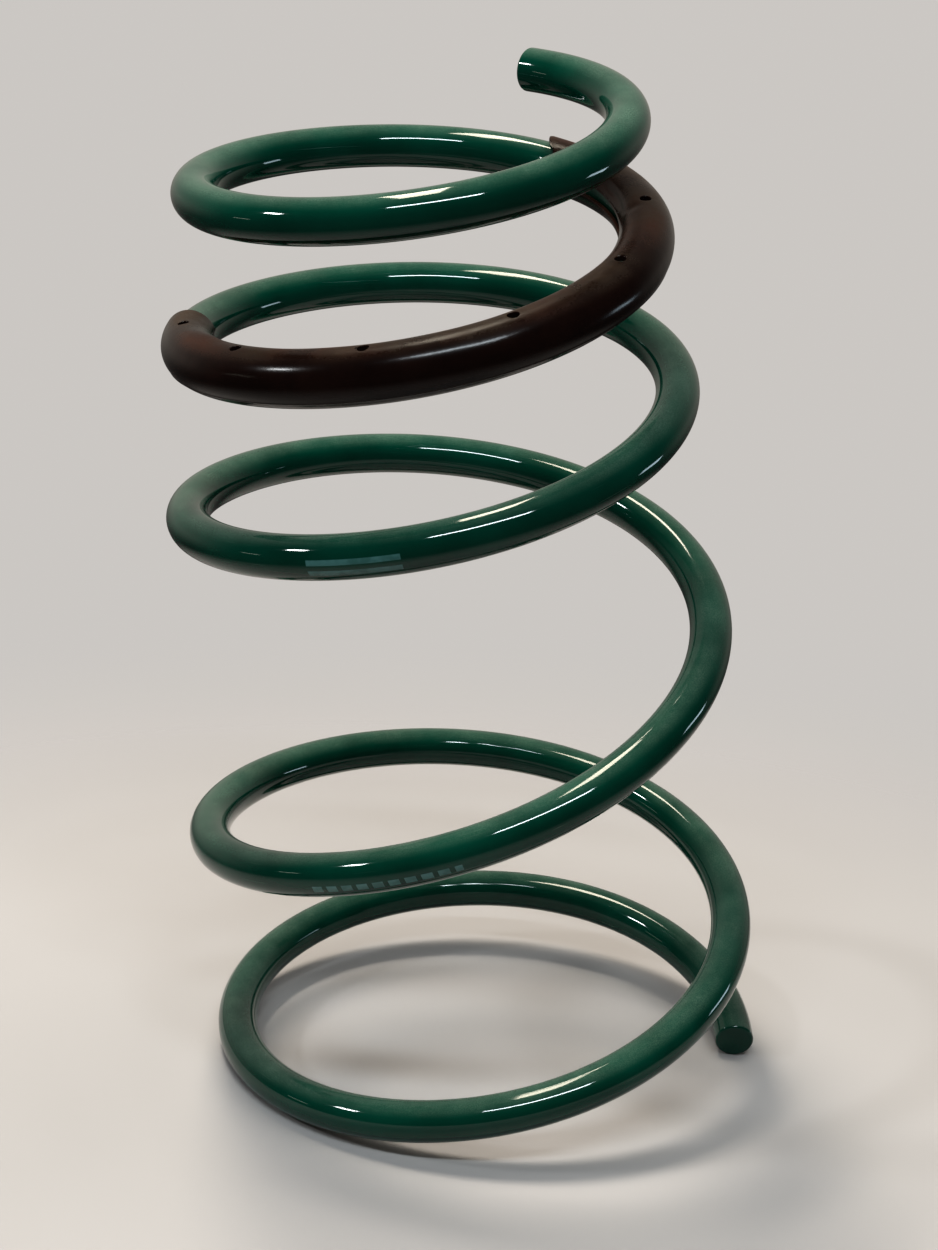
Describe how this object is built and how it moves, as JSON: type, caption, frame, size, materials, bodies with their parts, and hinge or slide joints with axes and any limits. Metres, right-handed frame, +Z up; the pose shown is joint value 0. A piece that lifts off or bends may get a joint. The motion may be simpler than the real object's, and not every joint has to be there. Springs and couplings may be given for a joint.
{
  "type": "coil spring",
  "caption": "Tapered helical strut spring of painted round bar with open unground ends, wide at the base, and a split silencer sleeve on an upper turn.",
  "frame": {"origin": "middle of the box's base, on the level surface that the free spring stands on", "axes": "+Z up with the spring standing by itself on its lower cut end and lowest turn; +X towards the side where the lower cut end is; -Y towards the front. The coil's own axis leans 13.3 degrees from +Z, towards -X and -Y, because the open ends are not ground flat."},
  "size_m": [0.1878, 0.1956, 0.3064],
  "materials": {
    "bar_paint": "glossy green powder coat over steel",
    "sleeve_rubber": "semi-gloss dark brown, dusty on top"
  },
  "bodies": {
    "lower_end": {"bar_lower_end": "bar_paint"},
    "turn_2_right": {"bar_turn_2_right": "bar_paint"},
    "turn_2_left": {"bar_turn_2_left": "bar_paint"},
    "turn_3_right": {"bar_turn_3_right": "bar_paint"},
    "turn_3_left": {"bar_turn_3_left": "bar_paint"},
    "turn_4_right": {"bar_turn_4_right": "bar_paint"},
    "turn_4_left": {"bar_turn_4_left": "bar_paint", "silencer_sleeve_lower_half": "sleeve_rubber"},
    "turn_5_right": {"bar_turn_5_right": "bar_paint", "silencer_sleeve_upper_half": "sleeve_rubber"},
    "turn_5_left": {"bar_turn_5_left": "bar_paint"},
    "upper_end": {"bar_upper_end": "bar_paint"}
  },
  "joints": [
    {"name": "coil_twist_1", "type": "hinge", "parent": "lower_end", "child": "turn_2_right", "pos_m": [0.00758, -0.06433, 0.01627], "axis": [-0.9711, 0.0306, -0.2367], "range_deg": [0, 8.95], "stiffness_Nm_per_rad": 1326},
    {"name": "coil_twist_2", "type": "hinge", "parent": "turn_2_right", "child": "turn_2_left", "pos_m": [0.00103, 0.08167, 0.07552], "axis": [0.9993, 0.0194, -0.0323], "range_deg": [0, 17.92], "stiffness_Nm_per_rad": 663},
    {"name": "coil_twist_3", "type": "hinge", "parent": "turn_2_left", "child": "turn_3_right", "pos_m": [-0.00477, -0.07902, 0.102], "axis": [-0.9249, 0.0435, -0.3778], "range_deg": [0, 17.65], "stiffness_Nm_per_rad": 674},
    {"name": "coil_twist_4", "type": "hinge", "parent": "turn_3_right", "child": "turn_3_left", "pos_m": [-0.01399, 0.0576, 0.17929], "axis": [0.9986, 0.0356, -0.0403], "range_deg": [0, 16.04], "stiffness_Nm_per_rad": 705},
    {"name": "coil_twist_5", "type": "hinge", "parent": "turn_3_left", "child": "turn_4_right", "pos_m": [-0.01705, -0.08821, 0.18776], "axis": [-0.9634, 0.0208, -0.2671], "range_deg": [0, 13.89], "stiffness_Nm_per_rad": 739},
    {"name": "coil_twist_6", "type": "hinge", "parent": "turn_4_right", "child": "turn_4_left", "pos_m": [-0.02213, 0.04038, 0.23511], "axis": [0.9989, 0.0224, 0.0401], "range_deg": [0, 13.53], "stiffness_Nm_per_rad": 777},
    {"name": "coil_twist_7", "type": "hinge", "parent": "turn_4_left", "child": "turn_5_right", "pos_m": [-0.02349, -0.08986, 0.23302], "axis": [-0.9682, 0.0158, -0.2496], "range_deg": [0, 12.01], "stiffness_Nm_per_rad": 819},
    {"name": "coil_twist_8", "type": "hinge", "parent": "turn_5_right", "child": "turn_5_left", "pos_m": [-0.02814, 0.02591, 0.27617], "axis": [0.9992, 0.026, 0.0308], "range_deg": [0, 10.85], "stiffness_Nm_per_rad": 865},
    {"name": "coil_twist_9", "type": "hinge", "parent": "turn_5_left", "child": "upper_end", "pos_m": [-0.02877, -0.09175, 0.2701], "axis": [-0.9805, 0.0228, -0.195], "range_deg": [0, 5.93], "stiffness_Nm_per_rad": 1778}
  ],
  "couplings": [
    {"joint": "coil_twist_2", "follows": "coil_twist_1", "ratio": 2},
    {"joint": "coil_twist_3", "follows": "coil_twist_1", "ratio": 1.97},
    {"joint": "coil_twist_4", "follows": "coil_twist_1", "ratio": 1.79},
    {"joint": "coil_twist_5", "follows": "coil_twist_1", "ratio": 1.55},
    {"joint": "coil_twist_6", "follows": "coil_twist_1", "ratio": 1.51},
    {"joint": "coil_twist_7", "follows": "coil_twist_1", "ratio": 1.34},
    {"joint": "coil_twist_8", "follows": "coil_twist_1", "ratio": 1.21},
    {"joint": "coil_twist_9", "follows": "coil_twist_1", "ratio": 0.66}
  ]
}
